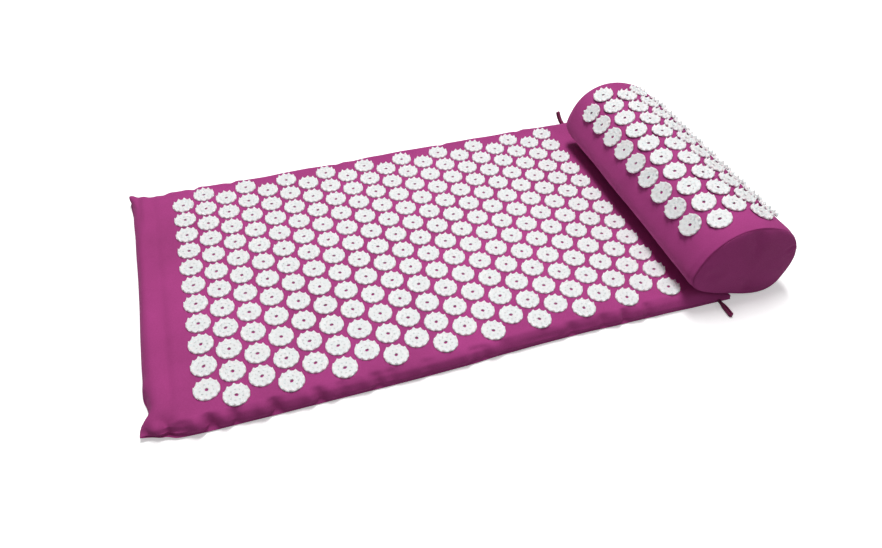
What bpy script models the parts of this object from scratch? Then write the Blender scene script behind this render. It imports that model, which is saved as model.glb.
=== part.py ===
# An acupressure mat with its matching neck pillow, modelled as the real set is made.
# A foam pad lies in a sewn cotton cover that carries moulded discs, and the pillow rests over its head end.
# Metres, +Z up. The origin is the middle of the mat's underside.
# +X points to the head end and +Y to the far side.
import math

import bmesh
import bpy
from mathutils import Matrix, Vector

# The discs, laid in staggered columns
DISC_PITCH = 0.033
DISC_DIAMETER = 0.0285
DISC_THICKNESS = 0.0012
DISC_LINK_WIDTH = 0.003
DISC_ARC_STEPS = 5
SPIKE_HEIGHT = 0.0032
SPIKE_SETBACK = 0.0012
MAT_COLUMNS = 20
MAT_DISCS_SHORT = 11
MAT_DISCS_LONG = 12
PILLOW_ROWS = 5
PILLOW_ROWS_TO_CREST = 3
PILLOW_DISCS_SHORT = 9
PILLOW_DISCS_LONG = 10
COLUMN_SPACING = DISC_PITCH * math.sin(math.pi / 3)

# The mat, a little larger than its field of discs
SIDE_MARGIN = 0.01125
END_MARGIN = 0.05425
DISC_FIELD_SHIFT = -0.003
MAT_LENGTH = (MAT_COLUMNS - 1) * COLUMN_SPACING + DISC_DIAMETER + 2 * END_MARGIN
MAT_WIDTH = (MAT_DISCS_LONG - 1) * DISC_PITCH + DISC_DIAMETER + 2 * SIDE_MARGIN
MAT_HEIGHT = 0.0205
FABRIC = 0.0008
SEAT_GAP = 0.0003
SEAM_GAP = 0.0005
SEAM_HEIGHT = FABRIC + SEAM_GAP
FOAM_SIDE_ROOM = 0.0030
FOAM_SHOULDER_DROP = 0.0024
FOAM_CORNER_CUT = 0.012

# How the mat's near, head, far and foot sides round over to the top, and how far each crown falls
SHOULDER_ROUNDINGS = (0.007, 0.003, 0.007, 0.008)
CROWN_REACHES = (0.011, 0.050, 0.011, 0.050)
CROWN_DROPS = (0.0006, 0.0092, 0.0006, 0.0035)
CROWN_MIDDLE_SHARE = 0.25
HEAD_SIDE = 1

# The mat's outline, from the near foot corner towards the head: where each side has its points,
# how far it is drawn in at each, and how far each corner tip stands out along X and Y
LONG_SIDE_SHARES = (0.0, 0.035, 0.1, 0.2, 0.4, 0.6, 0.8, 0.9, 0.965)
END_SIDE_SHARES = (0.0, 0.04, 0.08, 0.3, 0.5, 0.7, 0.92, 0.96)
NEAR_DRAW_IN = (0.0, 0.007, 0.004, 0.001, 0.0, 0.0, 0.0, 0.0, 0.0)
HEAD_DRAW_IN = (0.0, 0.001, 0.0, 0.0, 0.0, 0.0, 0.0, 0.001)
FAR_DRAW_IN = (0.0, 0.0, 0.0, -0.002, -0.002, 0.002, 0.004, 0.0045, 0.004)
FOOT_DRAW_IN = (0.0, -0.002, -0.001, 0.001, 0.001, 0.001, 0.005, 0.003)
CORNER_TIPS = ((0.005, -0.015), (0.006, 0.0), (0.005, 0.0), (0.005, 0.005))
CORNER_LIFT = 0.0009
CORNER_SINK_SHARES = (0.0, 0.25, 0.45, 0.72, 0.93, 1.0)
CORNER_REACH_SHARES = (1.0, 0.6, 0.3, 0.0, 0.0, 0.0)

# The hanging loops, sewn into the long seams near the head end
LOOP_RIBBON = 0.0007
LOOP_WIDTH = 0.0065
LOOP_LENGTH = 0.025
LOOP_OPENING = 0.0024
LOOP_SWELL_SHARES = (0.25, 0.5)
LOOP_TIP_TURNS = (60, 30, 0)
LOOP_FROM_HEAD = 0.012
LOOP_SETBACK = 0.0015
NEAR_LOOP_HEIGHT = LOOP_WIDTH / 2 + SEAT_GAP
FAR_LOOP_HEIGHT = 0.0045
FAR_LOOP_LIFT = math.radians(12)

# The zips
ZIP_TAPE = 0.0006
ZIP_TAPE_WIDTH = 0.0064
ZIP_TAPE_SPARE = 0.004
ZIP_COIL_WIDTH = 0.0038
ZIP_COIL_PROUD = 0.0008
SLIDER_LENGTH = 0.009
SLIDER_WALL = 0.0012
SLIDER_PLATE = 0.001
BRIDGE_WIDTH = 0.0016
BRIDGE_TUNNEL_LENGTH = 0.0024
BRIDGE_TUNNEL_HEIGHT = 0.0016
BRIDGE_BAR = 0.0008
PULL_LENGTH = 0.013
PULL_WIDTH = 0.005
PULL_THICKNESS = 0.0008
PULL_EYE_LENGTH = 0.003
PULL_EYE_WIDTH = 0.0024
PULL_BAR = 0.0009
PULL_TAPER_SHARE = 0.25
CUT_OVERRUN = 0.002

# The pillow, in its own leaning frame: X across it, Y along it, Z out of its crown
PILLOW_END_MARGIN = 0.01325
PILLOW_LENGTH = (PILLOW_DISCS_LONG - 1) * DISC_PITCH + DISC_DIAMETER + 2 * PILLOW_END_MARGIN
PILLOW_ROW_WRAP = 0.01124
PILLOW_HALF_WIDTH = PILLOW_ROWS_TO_CREST * COLUMN_SPACING - PILLOW_ROW_WRAP
PILLOW_CROWN = 0.067
PILLOW_BELLY = 0.0365
PILLOW_OFF_CENTRE = (PILLOW_LENGTH - MAT_WIDTH) / 2
PILLOW_TURN = math.radians(-2.3)
PILLOW_LEAN = math.radians(19.5)
PILLOW_FLAT_DEPTH = 0.0005
PILLOW_MAT_GAP = 0.0005
CROWN_POWER = 2.233
BELLY_POWER = 2.8
SECTION_POINTS = 32
SECTION_STEPS = 400
END_SEAM_INSET = 0.010
END_SHOULDER_INSET = 0.035
END_BULGE = 0.007
CORE_SIDE_ROOM = 0.0034
CORE_ROOM = 0.0005
CORE_END_ROOM = 0.0015
SEAM_SCALE_SHARE = 0.965
SHOULDER_SCALE_SHARE = 0.992
BULGE_SHARES = ((1.0, 0.0), (0.72, 0.62), (0.38, 0.93))


def clear_scene():
    for obj in list(bpy.data.objects):
        bpy.data.objects.remove(obj, do_unlink=True)


def make_collection(name):
    collection = bpy.data.collections.new(name)
    bpy.context.scene.collection.children.link(collection)
    return collection


def make_material(name, color, roughness, metallic=0.0):
    material = bpy.data.materials.new(name)
    material.use_nodes = True
    shader = material.node_tree.nodes["Principled BSDF"]
    shader.inputs["Base Color"].default_value = (*color, 1.0)
    shader.inputs["Roughness"].default_value = roughness
    shader.inputs["Metallic"].default_value = metallic
    material.diffuse_color = (*color, 1.0)
    return material


def finish_object(name, data, place, material):
    obj = bpy.data.objects.new(name, data)
    parts.objects.link(obj)
    obj.matrix_world = place
    data.materials.append(material.copy())
    data.materials[0].name = name
    return obj


def mesh_object(name, bm, place, material):
    bmesh.ops.recalc_face_normals(bm, faces=bm.faces)
    mesh = bpy.data.meshes.new(name)
    bm.to_mesh(mesh)
    bm.free()
    return finish_object(name, mesh, place, material)


def plate_object(name, outlines, thickness, place, material):
    """A flat plate from closed outlines in its own XY plane; a second outline is a hole."""
    curve = bpy.data.curves.new(name, "CURVE")
    curve.dimensions = "2D"
    curve.fill_mode = "BOTH"
    curve.extrude = thickness / 2
    for points in outlines:
        spline = curve.splines.new("POLY")
        spline.points.add(len(points) - 1)
        for target, (x, y) in zip(spline.points, points):
            target.co = (x, y, 0, 1)
        spline.use_cyclic_u = True
    return finish_object(name, curve, place, material)


def add_thickness(obj, thickness, offset=-1.0):
    solidify = obj.modifiers.new("Thickness", "SOLIDIFY")
    solidify.thickness = thickness
    solidify.offset = offset


def keep_as_helper(obj, collection):
    parts.objects.unlink(obj)
    collection.objects.link(obj)
    obj.hide_render = True
    obj.display_type = "WIRE"


def profile_object(name, corners, reach, material, place, collection=None):
    """A flat profile drawn out straight; one in another collection is a helper, not rendered."""
    bm = bmesh.new()
    face = bm.faces.new([bm.verts.new(corner) for corner in corners])
    made = bmesh.ops.extrude_face_region(bm, geom=[face])["geom"]
    moved = [item for item in made if isinstance(item, bmesh.types.BMVert)]
    bmesh.ops.translate(bm, vec=reach, verts=moved)
    obj = mesh_object(name, bm, place, material)
    if collection:
        keep_as_helper(obj, collection)
    return obj


def box_object(name, low, high, material, place, collection=None):
    """A box between two corners; one in another collection is a helper, not rendered."""
    (x0, y0, z0), (x1, y1, z1) = low, high
    corners = [(x0, y0, z0), (x1, y0, z0), (x1, y1, z0), (x0, y1, z0)]
    return profile_object(name, corners, (0, 0, z1 - z0), material, place, collection)


def cut_away(obj, cutter):
    boolean = obj.modifiers.new("Slot", "BOOLEAN")
    boolean.operation = "DIFFERENCE"
    boolean.solver = "EXACT"
    boolean.object = cutter


def disc_chain(count):
    """One side of the outline of a line of discs along X, each joined to the next by a narrow link."""
    radius = DISC_DIAMETER / 2
    joint = math.asin(DISC_LINK_WIDTH / 2 / radius)
    points = []
    for k in range(count):
        centre = (k - (count - 1) / 2) * DISC_PITCH
        start = math.pi if k == 0 else math.pi - joint
        end = 0.0 if k == count - 1 else joint
        for step in range(DISC_ARC_STEPS + 1):
            angle = start + (end - start) * step / DISC_ARC_STEPS
            points.append((centre + radius * math.cos(angle), radius * math.sin(angle)))
    return points


def rim_edges(bm, row):
    """The edges along a row of points that lie on the rims of discs, and not on the links."""
    pairs = enumerate(zip(row, row[1:]))
    return [bm.edges.get(pair) for index, pair in pairs if index % (DISC_ARC_STEPS + 1) < DISC_ARC_STEPS]


def raise_spikes(bm, discs, rims):
    """Raises a spike beside each rim edge, from the faces of whole discs."""
    hubs = set(bmesh.ops.poke(bm, faces=discs)["verts"])
    for rim in rims:
        face = next(face for face in rim.link_faces if hubs & set(face.verts))
        hub = next(vert for vert in face.verts if vert in hubs)
        middle = (rim.verts[0].co + rim.verts[1].co) / 2
        inward = (hub.co - middle).normalized()
        tip = bmesh.ops.poke(bm, faces=[face])["verts"][0]
        tip.co = middle + inward * SPIKE_SETBACK + Vector((0, 0, SPIKE_HEIGHT))


def disc_line(name, count, place):
    """One line of spiked discs as one body, with its underside on the plane of its place."""
    bm = bmesh.new()
    left = [bm.verts.new((x, y, DISC_THICKNESS)) for x, y in disc_chain(count)]
    right = [bm.verts.new((v.co.x, -v.co.y, v.co.z)) for v in left[1:-1]]
    plate = bm.faces.new(left + right[::-1])
    made = bmesh.ops.extrude_face_region(bm, geom=[plate])["geom"]
    lower = [item for item in made if isinstance(item, bmesh.types.BMVert)]
    bmesh.ops.translate(bm, vec=(0, 0, -DISC_THICKNESS), verts=lower)
    right = [left[0], *right, left[-1]]
    for index in range(1, len(left) - 1):
        if index % (DISC_ARC_STEPS + 1) in (0, DISC_ARC_STEPS):
            bmesh.ops.connect_verts(bm, verts=[left[index], right[index]])
    top = set(left + right)
    discs = [face for face in bm.faces if len(face.verts) > 4 and top.issuperset(face.verts)]
    raise_spikes(bm, discs, rim_edges(bm, left) + rim_edges(bm, right))
    return mesh_object(name, bm, place, disc_white)


def mat_ring(index, insets, heights, tips, corner_cut):
    """One closed ring of the mat's skin: its points in order round the mat, from the near foot corner.

    insets and heights are given for the near, head, far and foot sides."""
    near, head, far, foot = insets
    x0, x1 = -MAT_LENGTH / 2 + foot, MAT_LENGTH / 2 - head
    y0, y1 = -MAT_WIDTH / 2 + near, MAT_WIDTH / 2 - far
    corners = [(x0, y0), (x1, y0), (x1, y1), (x0, y1)]
    inward = [(0, 1), (-1, 0), (0, -1), (1, 0)]
    draws = [NEAR_DRAW_IN, HEAD_DRAW_IN, FAR_DRAW_IN, FOOT_DRAW_IN]
    seam = SEAM_HEIGHT + CORNER_LIFT
    points = []
    for side in range(4):
        (ax, ay), (bx, by) = corners[side], corners[(side + 1) % 4]
        shares = END_SIDE_SHARES if side % 2 else LONG_SIDE_SHARES
        for share, draw in zip(shares, draws[side]):
            x = ax + (bx - ax) * share + inward[side][0] * draw
            y = ay + (by - ay) * share + inward[side][1] * draw
            z = heights[side]
            if share == 0:
                tip_x, tip_y = CORNER_TIPS[side] if tips else (-corner_cut, -corner_cut)
                reach = CORNER_REACH_SHARES[index] if tips else 1
                x += math.copysign(1, ax) * tip_x * reach
                y += math.copysign(1, ay) * tip_y * reach
                low = min(heights[side], heights[side - 1])
                z = seam + (max(low, seam) - seam) * CORNER_SINK_SHARES[index]
            points.append((x, y, z))
    return points


def side_profile(side, room, top, shoulder_drop):
    """One side of the mat from its seam over the shoulder to the crown, as insets and heights."""
    rounding, crown = SHOULDER_ROUNDINGS[side], CROWN_REACHES[side]
    shoulder = top - CROWN_DROPS[side] - shoulder_drop
    wall = shoulder - rounding
    eighth = math.sin(math.pi / 4)
    return [
        (room, SEAM_HEIGHT),
        (room, wall),
        (room + rounding * (1 - eighth), wall + rounding * eighth),
        (room + rounding, shoulder),
        (room + (rounding + crown) / 2, top - (top - shoulder) * CROWN_MIDDLE_SHARE),
        (room + crown, top),
    ]


def mat_rings(room, top, shoulder_drop, tips, corner_cut):
    """The rings of the mat's skin, or of its foam a little inside it, from the seam to the crown."""
    profiles = [side_profile(side, room, top, shoulder_drop) for side in range(4)]
    rings = []
    for index, level in enumerate(zip(*profiles)):
        insets, heights = zip(*level)
        rings.append(mat_ring(index, insets, heights, tips, corner_cut))
    return rings


def skin_from_rings(rings, close_first, close_last):
    """A surface drawn from its first ring through the others, with a flat face on either end where asked."""
    bm = bmesh.new()
    verts = [bm.verts.new(p) for p in rings[0]]
    edges = [bm.edges.new((verts[k], verts[(k + 1) % len(verts)])) for k in range(len(verts))]
    if close_first:
        bm.faces.new(verts)
    for ring in rings[1:]:
        made = bmesh.ops.extrude_edge_only(bm, edges=edges)["geom"]
        drawn = {item for item in made if isinstance(item, bmesh.types.BMVert)}
        places = {vert: place for vert, place in zip(verts, ring)}
        following = {}
        for vert in drawn:
            for edge in vert.link_edges:
                source = edge.other_vert(vert)
                if source in places:
                    vert.co = places[source]
                    following[source] = vert
        verts = [following[vert] for vert in verts]
        edges = [item for item in made if isinstance(item, bmesh.types.BMEdge)]
        edges = [edge for edge in edges if all(vert in drawn for vert in edge.verts)]
    if close_last:
        bm.faces.new(verts)
    return bm


def build_mat():
    rings = mat_rings(0.0, MAT_HEIGHT, 0.0, True, 0.0)
    cover = mesh_object("mat_top_cover", skin_from_rings(rings, False, True), Matrix.Identity(4), cotton)
    add_thickness(cover, FABRIC)

    outline = [(x, y) for x, y, z in rings[0]]
    base_place = Matrix.Translation((0, 0, FABRIC / 2))
    plate_object("mat_base_panel", [outline], FABRIC, base_place, cotton)

    foam_room, foam_top = FABRIC + FOAM_SIDE_ROOM, MAT_HEIGHT - FABRIC - SEAT_GAP
    foam_rings = mat_rings(foam_room, foam_top, FOAM_SHOULDER_DROP, False, FOAM_CORNER_CUT)
    mesh_object("mat_foam_pad", skin_from_rings(foam_rings, True, True), Matrix.Identity(4), foam)

    for k in range(MAT_COLUMNS):
        x = DISC_FIELD_SHIFT + (k - (MAT_COLUMNS - 1) / 2) * COLUMN_SPACING
        count = MAT_DISCS_LONG if k % 2 else MAT_DISCS_SHORT
        place = Matrix.Translation((x, 0, MAT_HEIGHT + SEAT_GAP)) @ Matrix.Rotation(math.pi / 2, 4, "Z")
        disc_line(f"mat_disc_column_{k + 1:02d}", count, place)

    wall = side_profile(HEAD_SIDE, 0.0, MAT_HEIGHT, 0.0)[:2]
    zip_height = sum(height for inset, height in wall) / len(wall)
    straight = MAT_WIDTH * (END_SIDE_SHARES[-2] - END_SIDE_SHARES[2])
    place = Matrix.Translation((MAT_LENGTH / 2, 0, zip_height)) @ Matrix.Rotation(math.pi / 2, 4, "Y")
    build_zip("mat", straight - 2 * ZIP_TAPE_SPARE, place, cover)

    x = MAT_LENGTH / 2 - LOOP_FROM_HEAD
    y = MAT_WIDTH / 2 + LOOP_SETBACK
    place = Matrix.Translation((x, -y, NEAR_LOOP_HEIGHT)) @ Matrix.Rotation(math.pi, 4, "Z")
    build_loop("mat_loop_near", place @ Matrix.Rotation(math.pi / 2, 4, "Y"))
    place = Matrix.Translation((x, y, FAR_LOOP_HEIGHT)) @ Matrix.Rotation(FAR_LOOP_LIFT, 4, "X")
    build_loop("mat_loop_far", place)


def build_zip(prefix, length, place, cover):
    """A closed coil zip in its own frame: Y along it, X across it, Z out through the slot in the cover.

    The cover's outer face is at Z = 0. The slider stands at the +Y end, with its pull along the coil."""
    slot_half = ZIP_COIL_WIDTH / 2 + SEAT_GAP
    slot_end = length / 2 + SEAT_GAP
    slot = box_object(
        f"{prefix}_zip_slot_cutter",
        (-slot_half, -slot_end, -FABRIC - CUT_OVERRUN),
        (slot_half, slot_end, CUT_OVERRUN),
        cotton,
        place,
        cutters,
    )
    cut_away(cover, slot)

    tape_top = -FABRIC - SEAT_GAP
    half_tape = length / 2 + ZIP_TAPE_SPARE
    half_width = ZIP_TAPE_WIDTH / 2
    box_object(
        f"{prefix}_zip_tape",
        (-half_width, -half_tape, tape_top - ZIP_TAPE),
        (half_width, half_tape, tape_top),
        tape_cloth,
        place,
    )
    coil_half = ZIP_COIL_WIDTH / 2
    coil = box_object(
        f"{prefix}_zip_coil",
        (-coil_half, -length / 2, tape_top + SEAT_GAP),
        (coil_half, length / 2, ZIP_COIL_PROUD),
        nylon,
        place,
    )
    rounding = coil.modifiers.new("Rounding", "BEVEL")
    rounding.width = ZIP_COIL_PROUD / 2
    rounding.segments = 1

    slider_y = length / 2 - SLIDER_LENGTH / 2
    slider_place = place @ Matrix.Translation((0, slider_y, 0))
    inner = coil_half + SEAT_GAP
    outer = inner + SLIDER_WALL
    under = ZIP_COIL_PROUD + SEAT_GAP
    plate_top = under + SLIDER_PLATE
    channel = [
        (-outer, SEAT_GAP),
        (-inner, SEAT_GAP),
        (-inner, under),
        (inner, under),
        (inner, SEAT_GAP),
        (outer, SEAT_GAP),
        (outer, plate_top),
        (-outer, plate_top),
    ]
    corners = [(x, -SLIDER_LENGTH / 2, z) for x, z in channel]
    reach = (0, SLIDER_LENGTH, 0)
    slider = profile_object(f"{prefix}_zip_slider", corners, reach, slider_metal, slider_place)

    half_tunnel = BRIDGE_TUNNEL_LENGTH / 2
    leg = half_tunnel + BRIDGE_BAR
    sunk = plate_top - SLIDER_PLATE / 2
    tunnel_top = plate_top + BRIDGE_TUNNEL_HEIGHT
    arch = [
        (-leg, sunk),
        (-half_tunnel, sunk),
        (-half_tunnel, tunnel_top),
        (half_tunnel, tunnel_top),
        (half_tunnel, sunk),
        (leg, sunk),
        (leg, tunnel_top + BRIDGE_BAR),
        (-leg, tunnel_top + BRIDGE_BAR),
    ]
    corners = [(-BRIDGE_WIDTH / 2, y, z) for y, z in arch]
    name = f"{prefix}_zip_bridge_joiner"
    bridge = profile_object(name, corners, (BRIDGE_WIDTH, 0, 0), slider_metal, slider_place, cutters)
    union = slider.modifiers.new("Bridge", "BOOLEAN")
    union.operation = "UNION"
    union.solver = "EXACT"
    union.object = bridge

    half_pull = PULL_WIDTH / 2
    back = PULL_BAR / 2
    tip = PULL_LENGTH - back
    taper = PULL_WIDTH * PULL_TAPER_SHARE
    outline = [
        (half_pull, back),
        (-half_pull, back),
        (-half_pull, -tip + taper),
        (-half_pull + taper, -tip),
        (half_pull - taper, -tip),
        (half_pull, -tip + taper),
    ]
    half_eye = PULL_EYE_WIDTH / 2
    eye = [
        (half_eye, -back),
        (-half_eye, -back),
        (-half_eye, -back - PULL_EYE_LENGTH),
        (half_eye, -back - PULL_EYE_LENGTH),
    ]
    hinge_height = plate_top + BRIDGE_TUNNEL_HEIGHT / 2
    pull_place = slider_place @ Matrix.Translation((0, 0, hinge_height))
    plate_object(f"{prefix}_zip_pull", [outline, eye], PULL_THICKNESS, pull_place, slider_metal)


def loop_path():
    """A ribbon folded into a drop shape: out along one side, round the tip and back."""
    root = LOOP_RIBBON / 2 + SEAT_GAP / 2
    belly = LOOP_OPENING / 2 + LOOP_RIBBON / 2
    start = LOOP_SETBACK / 2
    tip_start = LOOP_LENGTH - belly
    swell_start, swell_end = [LOOP_LENGTH * share for share in LOOP_SWELL_SHARES]
    points = [(-start, root), (swell_start, (root + belly) / 2), (swell_end, belly), (tip_start, belly)]
    for angle in LOOP_TIP_TURNS:
        turn = math.radians(angle)
        points.append((tip_start + belly * math.cos(turn), belly * math.sin(turn)))
    back = [(x, -z) for x, z in points[-2::-1]]
    return points + back


def build_loop(name, place):
    """A hanging loop in its own frame: Y out of the seam, X across the ribbon, Z between its two strands."""
    bm = bmesh.new()
    path = loop_path()
    verts = [bm.verts.new((-LOOP_WIDTH / 2, y, z)) for y, z in path]
    edges = [bm.edges.new(pair) for pair in zip(verts, verts[1:])]
    made = bmesh.ops.extrude_edge_only(bm, edges=edges)["geom"]
    moved = [item for item in made if isinstance(item, bmesh.types.BMVert)]
    bmesh.ops.translate(bm, vec=(LOOP_WIDTH, 0, 0), verts=moved)
    loop = mesh_object(name, bm, place, ribbon)
    add_thickness(loop, LOOP_RIBBON, 0.0)


def section_point(angle, half_width, crown, belly):
    """A point of the pillow's section: a rounded oval with a high crown and a flatter belly."""
    cosine, sine = math.cos(angle), math.sin(angle)
    power = CROWN_POWER if sine >= 0 else BELLY_POWER
    height = crown if sine >= 0 else belly
    x = math.copysign(half_width * abs(cosine) ** (2 / power), cosine)
    z = math.copysign(height * abs(sine) ** (2 / power), sine)
    return x, z


def section_outline(scale, side_room, room):
    """The section's points, drawn in about its middle height by a scale."""
    middle = (PILLOW_CROWN - PILLOW_BELLY) / 2
    outline = []
    for k in range(SECTION_POINTS):
        angle = 2 * math.pi * (k + 0.5) / SECTION_POINTS
        x, z = section_point(angle, PILLOW_HALF_WIDTH - side_room, PILLOW_CROWN - room, PILLOW_BELLY - room)
        outline.append((x * scale, middle + (z - middle) * scale))
    return outline


def pillow_stations():
    """Where the pillow's cover has its rings along its length, and how much each is drawn in."""
    half = PILLOW_LENGTH / 2
    return [
        (-half, SEAM_SCALE_SHARE),
        (-half + END_SEAM_INSET, SHOULDER_SCALE_SHARE),
        (-half + END_SHOULDER_INSET, 1.0),
        (half - END_SHOULDER_INSET, 1.0),
        (half - END_SEAM_INSET, SHOULDER_SCALE_SHARE),
        (half, SEAM_SCALE_SHARE),
    ]


def height_crossing(profile, height):
    """Where a profile of (x, height) points, running downwards, passes a height."""
    for (xa, za), (xb, zb) in zip(profile, profile[1:]):
        if za >= height >= zb and za > zb:
            return xa + (xb - xa) * (za - height) / (za - zb)
    return None


def pillow_place():
    """The pillow's frame: it lies on the floor, cut flat by a little, and leans on the mat's head end."""
    turned = Matrix.Rotation(PILLOW_TURN, 4, "Z") @ Matrix.Rotation(PILLOW_LEAN, 4, "Y")
    lowest = min((turned @ Vector((x, 0, z))).z for x, z in section_outline(1.0, 0.0, 0.0))
    height = -PILLOW_FLAT_DEPTH - lowest
    head = side_profile(HEAD_SIDE, 0.0, MAT_HEIGHT, 0.0)
    profile = [(MAT_LENGTH / 2 - inset, height) for inset, height in reversed(head)]
    shift = 0.0
    for y, scale in pillow_stations():
        points = [turned @ Vector((x, y, z)) for x, z in section_outline(scale, 0.0, 0.0)]
        left = min(range(len(points)), key=lambda k: points[k].x)
        bottom = min(range(len(points)), key=lambda k: points[k].z)
        underside = [(points[k].x, points[k].z + height) for k in range(left, bottom + 1)]
        for level in [z for x, z in profile + underside]:
            mat_x = height_crossing(profile, level)
            pillow_x = height_crossing(underside, level)
            if mat_x is not None and pillow_x is not None:
                shift = max(shift, mat_x - pillow_x)
    place = Vector((shift + PILLOW_MAT_GAP, PILLOW_OFF_CENTRE, height))
    return Matrix.Translation(place) @ turned


def pillow_ring(y, scale, side_room=0.0, room=0.0):
    """One ring of the pillow across its length, cut flat where it lies on the floor."""
    points = []
    for x, z in section_outline(scale, side_room, room):
        point = pillow_frame @ Vector((x, y, z))
        point.z = max(point.z, room)
        points.append(tuple(pillow_frame.inverted() @ point))
    return points


def pillow_surface_point(arc):
    """The point and the slope angle of the section at a length of arc from the crown's top."""
    travelled = 0.0
    sign = 1 if arc >= 0 else -1
    last = section_point(math.pi / 2, PILLOW_HALF_WIDTH, PILLOW_CROWN, PILLOW_BELLY)
    for step in range(1, SECTION_STEPS + 1):
        angle = math.pi / 2 * (1 - sign * step / SECTION_STEPS)
        here = section_point(angle, PILLOW_HALF_WIDTH, PILLOW_CROWN, PILLOW_BELLY)
        length = math.dist(last, here)
        if travelled + length >= abs(arc):
            share = (abs(arc) - travelled) / length
            x = last[0] + (here[0] - last[0]) * share
            z = last[1] + (here[1] - last[1]) * share
            slope = math.atan2(sign * (here[1] - last[1]), sign * (here[0] - last[0]))
            return x, z, slope
        travelled += length
        last = here
    return last[0], last[1], -sign * math.pi / 2


def build_pillow():
    half = PILLOW_LENGTH / 2
    rings = [pillow_ring(y, scale) for y, scale in pillow_stations()]
    cover = mesh_object("pillow_cover", skin_from_rings(rings, False, False), pillow_frame, cotton)
    add_thickness(cover, FABRIC)

    outline = section_outline(1.0, 0.0, 0.0)
    above, below = outline[0], outline[-1]
    middle = Vector(((above[0] + below[0]) / 2, 0, (above[1] + below[1]) / 2))
    facet_turn = math.atan2(above[1] - below[1], above[0] - below[0])
    place = pillow_frame @ Matrix.Translation(middle) @ Matrix.Rotation(math.pi - facet_turn, 4, "Y")
    build_zip("pillow", PILLOW_LENGTH - 2 * (END_SHOULDER_INSET + ZIP_TAPE_SPARE), place, cover)

    for name, side in (("near", -1), ("far", 1)):
        rings = []
        for scale, bulge in BULGE_SHARES:
            y = side * (half + SEAT_GAP + END_BULGE * bulge)
            rings.append(pillow_ring(y, SEAM_SCALE_SHARE * scale))
        skin = skin_from_rings(rings, False, True)
        panel = mesh_object(f"pillow_end_panel_{name}", skin, pillow_frame, cotton)
        add_thickness(panel, FABRIC, 1.0)

    core_half = half - CORE_END_ROOM
    core_stations = [
        (-core_half, SEAM_SCALE_SHARE),
        (-half + END_SHOULDER_INSET, 1.0),
        (half - END_SHOULDER_INSET, 1.0),
        (core_half, SEAM_SCALE_SHARE),
    ]
    room = FABRIC + CORE_ROOM
    core_rings = [pillow_ring(y, scale, FABRIC + CORE_SIDE_ROOM, room) for y, scale in core_stations]
    mesh_object("pillow_foam_core", skin_from_rings(core_rings, True, True), pillow_frame, foam)

    for k in range(PILLOW_ROWS):
        x, z, slope = pillow_surface_point((k - PILLOW_ROWS_TO_CREST) * COLUMN_SPACING)
        count = PILLOW_DISCS_LONG if k % 2 else PILLOW_DISCS_SHORT
        place = pillow_frame @ Matrix.Translation((x, 0, z)) @ Matrix.Rotation(-slope, 4, "Y")
        place = place @ Matrix.Translation((0, 0, SEAT_GAP)) @ Matrix.Rotation(math.pi / 2, 4, "Z")
        disc_line(f"pillow_disc_row_{k + 1}", count, place)


clear_scene()
parts = make_collection("acupressure_mat")
cutters = make_collection("cutters")

cotton = make_material("magenta cotton", (0.45, 0.055, 0.26), 0.85)
foam = make_material("white foam", (0.86, 0.85, 0.80), 0.95)
disc_white = make_material("white plastic", (0.88, 0.88, 0.90), 0.35)
ribbon = make_material("dark ribbon", (0.16, 0.01, 0.08), 0.7)
tape_cloth = make_material("zip tape", (0.30, 0.03, 0.17), 0.85)
nylon = make_material("zip nylon", (0.36, 0.04, 0.20), 0.45)
slider_metal = make_material("zip metal", (0.36, 0.05, 0.20), 0.35, 0.4)

pillow_frame = pillow_place()
build_mat()
build_pillow()
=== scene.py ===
# An acupressure mat with its matching pillow: cloth, discs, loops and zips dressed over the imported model.
# Metres throughout: +X runs to the head end of the mat, +Y to the far side, +Z up.
import math
import random

import bmesh
import bpy
import numpy as np
from mathutils import Euler, Matrix, Vector, noise


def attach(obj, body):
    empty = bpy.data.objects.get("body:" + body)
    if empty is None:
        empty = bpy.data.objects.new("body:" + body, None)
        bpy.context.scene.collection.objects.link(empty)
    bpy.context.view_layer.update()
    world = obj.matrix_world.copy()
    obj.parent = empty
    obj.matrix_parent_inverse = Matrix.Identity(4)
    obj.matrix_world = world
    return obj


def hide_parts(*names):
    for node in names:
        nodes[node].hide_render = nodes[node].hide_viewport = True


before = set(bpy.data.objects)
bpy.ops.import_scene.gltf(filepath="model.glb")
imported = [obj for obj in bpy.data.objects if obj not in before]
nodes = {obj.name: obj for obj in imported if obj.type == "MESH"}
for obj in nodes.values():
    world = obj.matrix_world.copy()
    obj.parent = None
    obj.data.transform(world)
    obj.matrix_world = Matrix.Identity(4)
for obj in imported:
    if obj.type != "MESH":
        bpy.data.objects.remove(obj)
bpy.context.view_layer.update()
scene = bpy.context.scene

# finishes


class Wire:
    # one output of a material's node, which can be used in sums
    def __init__(self, finish, socket):
        self.finish, self.socket = finish, socket

    def combine(self, operation, first, second):
        return self.finish.node("Math", {"operation": operation}, {0: first, 1: second})

    def __add__(self, other):
        return self.combine("ADD", self, other)

    def __rsub__(self, other):
        return self.combine("SUBTRACT", other, self)

    def __mul__(self, other):
        return self.combine("MULTIPLY", self, other)

    __radd__ = __add__


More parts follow.
